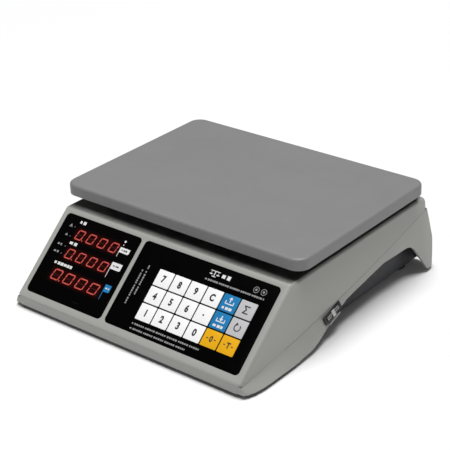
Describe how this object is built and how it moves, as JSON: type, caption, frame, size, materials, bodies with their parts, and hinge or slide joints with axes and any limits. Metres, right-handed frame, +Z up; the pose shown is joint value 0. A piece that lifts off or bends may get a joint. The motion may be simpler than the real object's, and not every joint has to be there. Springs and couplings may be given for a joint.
{
  "type": "counting scale",
  "caption": "Bench weighing scale with a removable pan, sloping front panel with a lit digit display and keypad, side arches and levelling feet.",
  "frame": {"origin": "centre of the footprint, on the surface that the feet stand on", "axes": "+Z up; -Y is the operator's side with the keypad; +X to the operator's right"},
  "size_m": [0.336, 0.346, 0.1135],
  "materials": {
    "housing_plastic": "light grey ABS with fine moulded grain",
    "base_plastic": "dark grey ABS with moulded grain",
    "pan_plastic": "mid grey, smooth satin",
    "smoked_window": "smoked acrylic window",
    "overlay_film": "black polyester film",
    "key_white": "printed film, white",
    "key_blue": "printed film, blue",
    "key_grey": "printed film, light grey",
    "key_yellow": "printed film, yellow",
    "led_red": "red LED digits in a dark body",
    "circuit_board": "green solder mask",
    "black_plastic": "black nylon",
    "ribbon_grey": "grey flat cable",
    "aluminium": "machined aluminium",
    "cast_grey": "die-cast aluminium, as cast",
    "dark_steel": "blackened steel",
    "zinc_steel": "zinc-plated steel",
    "rubber_black": "black rubber",
    "battery_case": "dark battery case",
    "rocker_white": "light glossy plastic",
    "vial_green": "clear vial with green liquid"
  },
  "bodies": {
    "housing": {"base_pan": "base_plastic", "top_housing": "housing_plastic", "display_window": "smoked_window", "keypad_overlay": "overlay_film", "keypad_board": "circuit_board", "tact_switches": "black_plastic", "front_display_board": "circuit_board", "front_led_modules": "led_red", "rear_window": "smoked_window", "rear_display_board": "circuit_board", "rear_led_modules": "led_red", "main_board": "circuit_board", "board_components": "black_plastic", "ribbon_cables": "ribbon_grey", "load_cell": "aluminium", "load_cell_foot": "cast_grey", "cell_foot_screws": "dark_steel", "overload_stops": "dark_steel", "battery": "battery_case", "battery_door": "base_plastic", "door_screw": "zinc_steel", "power_socket": "black_plastic", "rocker_bezel": "black_plastic", "level_vial": "vial_green", "housing_screws": "zinc_steel", "board_screws": "zinc_steel"},
    "spider": {"load_cell_head": "cast_grey", "cell_head_screws": "dark_steel", "pan_spider": "cast_grey", "pan_buffers": "rubber_black"},
    "pan": {"weighing_pan": "pan_plastic"},
    "rocker": {"rocker": "rocker_white"},
    "key_7_cap": {"key_7": "key_white"},
    "key_8_cap": {"key_8": "key_white"},
    "key_9_cap": {"key_9": "key_white"},
    "key_clear_cap": {"key_clear": "key_white"},
    "key_recall_cap": {"key_recall": "key_blue"},
    "key_sum_cap": {"key_sum": "key_grey"},
    "key_4_cap": {"key_4": "key_white"},
    "key_5_cap": {"key_5": "key_white"},
    "key_6_cap": {"key_6": "key_white"},
    "key_point_cap": {"key_point": "key_white"},
    "key_store_cap": {"key_store": "key_blue"},
    "key_reset_cap": {"key_reset": "key_grey"},
    "key_1_cap": {"key_1": "key_white"},
    "key_2_cap": {"key_2": "key_white"},
    "key_3_cap": {"key_3": "key_white"},
    "key_0_cap": {"key_0": "key_white"},
    "key_zero_cap": {"key_zero": "key_yellow"},
    "key_tare_cap": {"key_tare": "key_yellow"},
    "pad_front_left": {"foot_pad_front_left": "rubber_black"},
    "stud_front_left": {"foot_screw_front_left": "zinc_steel"},
    "pad_front_right": {"foot_pad_front_right": "rubber_black"},
    "stud_front_right": {"foot_screw_front_right": "zinc_steel"},
    "pad_rear_left": {"foot_pad_rear_left": "rubber_black"},
    "stud_rear_left": {"foot_screw_rear_left": "zinc_steel"},
    "pad_rear_right": {"foot_pad_rear_right": "rubber_black"},
    "stud_rear_right": {"foot_screw_rear_right": "zinc_steel"}
  },
  "joints": [
    {"name": "load_travel", "type": "slide", "parent": "housing", "child": "spider", "axis": [0, 0, -1], "range_m": [0, 0.0006], "stiffness_N_per_m": 300000, "springref_m": -0.0001, "deforming": ["load_cell"]},
    {"name": "pan_lift", "type": "slide", "parent": "spider", "child": "pan", "axis": [0, 0, 1], "range_m": [0, 0.06]},
    {"name": "press_7", "type": "slide", "parent": "housing", "child": "key_7_cap", "axis": [0, 0.6561, -0.7547], "range_m": [0, 0.0004], "stiffness_N_per_m": 4000, "springref_m": -0.0001},
    {"name": "press_8", "type": "slide", "parent": "housing", "child": "key_8_cap", "axis": [0, 0.6561, -0.7547], "range_m": [0, 0.0004], "stiffness_N_per_m": 4000, "springref_m": -0.0001},
    {"name": "press_9", "type": "slide", "parent": "housing", "child": "key_9_cap", "axis": [0, 0.6561, -0.7547], "range_m": [0, 0.0004], "stiffness_N_per_m": 4000, "springref_m": -0.0001},
    {"name": "press_clear", "type": "slide", "parent": "housing", "child": "key_clear_cap", "axis": [0, 0.6561, -0.7547], "range_m": [0, 0.0004], "stiffness_N_per_m": 4000, "springref_m": -0.0001},
    {"name": "press_recall", "type": "slide", "parent": "housing", "child": "key_recall_cap", "axis": [0, 0.6561, -0.7547], "range_m": [0, 0.0004], "stiffness_N_per_m": 4000, "springref_m": -0.0001},
    {"name": "press_sum", "type": "slide", "parent": "housing", "child": "key_sum_cap", "axis": [0, 0.6561, -0.7547], "range_m": [0, 0.0004], "stiffness_N_per_m": 4000, "springref_m": -0.0001},
    {"name": "press_4", "type": "slide", "parent": "housing", "child": "key_4_cap", "axis": [0, 0.6561, -0.7547], "range_m": [0, 0.0004], "stiffness_N_per_m": 4000, "springref_m": -0.0001},
    {"name": "press_5", "type": "slide", "parent": "housing", "child": "key_5_cap", "axis": [0, 0.6561, -0.7547], "range_m": [0, 0.0004], "stiffness_N_per_m": 4000, "springref_m": -0.0001},
    {"name": "press_6", "type": "slide", "parent": "housing", "child": "key_6_cap", "axis": [0, 0.6561, -0.7547], "range_m": [0, 0.0004], "stiffness_N_per_m": 4000, "springref_m": -0.0001},
    {"name": "press_point", "type": "slide", "parent": "housing", "child": "key_point_cap", "axis": [0, 0.6561, -0.7547], "range_m": [0, 0.0004], "stiffness_N_per_m": 4000, "springref_m": -0.0001},
    {"name": "press_store", "type": "slide", "parent": "housing", "child": "key_store_cap", "axis": [0, 0.6561, -0.7547], "range_m": [0, 0.0004], "stiffness_N_per_m": 4000, "springref_m": -0.0001},
    {"name": "press_reset", "type": "slide", "parent": "housing", "child": "key_reset_cap", "axis": [0, 0.6561, -0.7547], "range_m": [0, 0.0004], "stiffness_N_per_m": 4000, "springref_m": -0.0001},
    {"name": "press_1", "type": "slide", "parent": "housing", "child": "key_1_cap", "axis": [0, 0.6561, -0.7547], "range_m": [0, 0.0004], "stiffness_N_per_m": 4000, "springref_m": -0.0001},
    {"name": "press_2", "type": "slide", "parent": "housing", "child": "key_2_cap", "axis": [0, 0.6561, -0.7547], "range_m": [0, 0.0004], "stiffness_N_per_m": 4000, "springref_m": -0.0001},
    {"name": "press_3", "type": "slide", "parent": "housing", "child": "key_3_cap", "axis": [0, 0.6561, -0.7547], "range_m": [0, 0.0004], "stiffness_N_per_m": 4000, "springref_m": -0.0001},
    {"name": "press_0", "type": "slide", "parent": "housing", "child": "key_0_cap", "axis": [0, 0.6561, -0.7547], "range_m": [0, 0.0004], "stiffness_N_per_m": 4000, "springref_m": -0.0001},
    {"name": "press_zero", "type": "slide", "parent": "housing", "child": "key_zero_cap", "axis": [0, 0.6561, -0.7547], "range_m": [0, 0.0004], "stiffness_N_per_m": 4000, "springref_m": -0.0001},
    {"name": "press_tare", "type": "slide", "parent": "housing", "child": "key_tare_cap", "axis": [0, 0.6561, -0.7547], "range_m": [0, 0.0004], "stiffness_N_per_m": 4000, "springref_m": -0.0001},
    {"name": "power_rock", "type": "hinge", "parent": "housing", "child": "rocker", "pos_m": [0.15639, -0.022, 0.02558], "axis": [-0.3403, -0.2334, 0.9109], "range_deg": [-8, 8]},
    {"name": "foot_height_front_left", "type": "slide", "parent": "housing", "child": "pad_front_left", "axis": [0, 0, -1], "range_m": [-0.0015, 0.006]},
    {"name": "foot_turn_front_left", "type": "hinge", "parent": "pad_front_left", "child": "stud_front_left", "pos_m": [-0.128, -0.139, 0], "axis": [0, 0, -1], "range_deg": [-432, 1728]},
    {"name": "foot_height_front_right", "type": "slide", "parent": "housing", "child": "pad_front_right", "axis": [0, 0, -1], "range_m": [-0.0015, 0.006]},
    {"name": "foot_turn_front_right", "type": "hinge", "parent": "pad_front_right", "child": "stud_front_right", "pos_m": [0.128, -0.139, 0], "axis": [0, 0, -1], "range_deg": [-432, 1728]},
    {"name": "foot_height_rear_left", "type": "slide", "parent": "housing", "child": "pad_rear_left", "axis": [0, 0, -1], "range_m": [-0.0015, 0.006]},
    {"name": "foot_turn_rear_left", "type": "hinge", "parent": "pad_rear_left", "child": "stud_rear_left", "pos_m": [-0.128, 0.145, 0], "axis": [0, 0, -1], "range_deg": [-432, 1728]},
    {"name": "foot_height_rear_right", "type": "slide", "parent": "housing", "child": "pad_rear_right", "axis": [0, 0, -1], "range_m": [-0.0015, 0.006]},
    {"name": "foot_turn_rear_right", "type": "hinge", "parent": "pad_rear_right", "child": "stud_rear_right", "pos_m": [0.128, 0.145, 0], "axis": [0, 0, -1], "range_deg": [-432, 1728]}
  ],
  "couplings": [
    {"joint": "foot_turn_front_left", "follows": "foot_height_front_left", "rad_per_m": 5026.5},
    {"joint": "foot_turn_front_right", "follows": "foot_height_front_right", "rad_per_m": 5026.5},
    {"joint": "foot_turn_rear_left", "follows": "foot_height_rear_left", "rad_per_m": 5026.5},
    {"joint": "foot_turn_rear_right", "follows": "foot_height_rear_right", "rad_per_m": 5026.5}
  ]
}
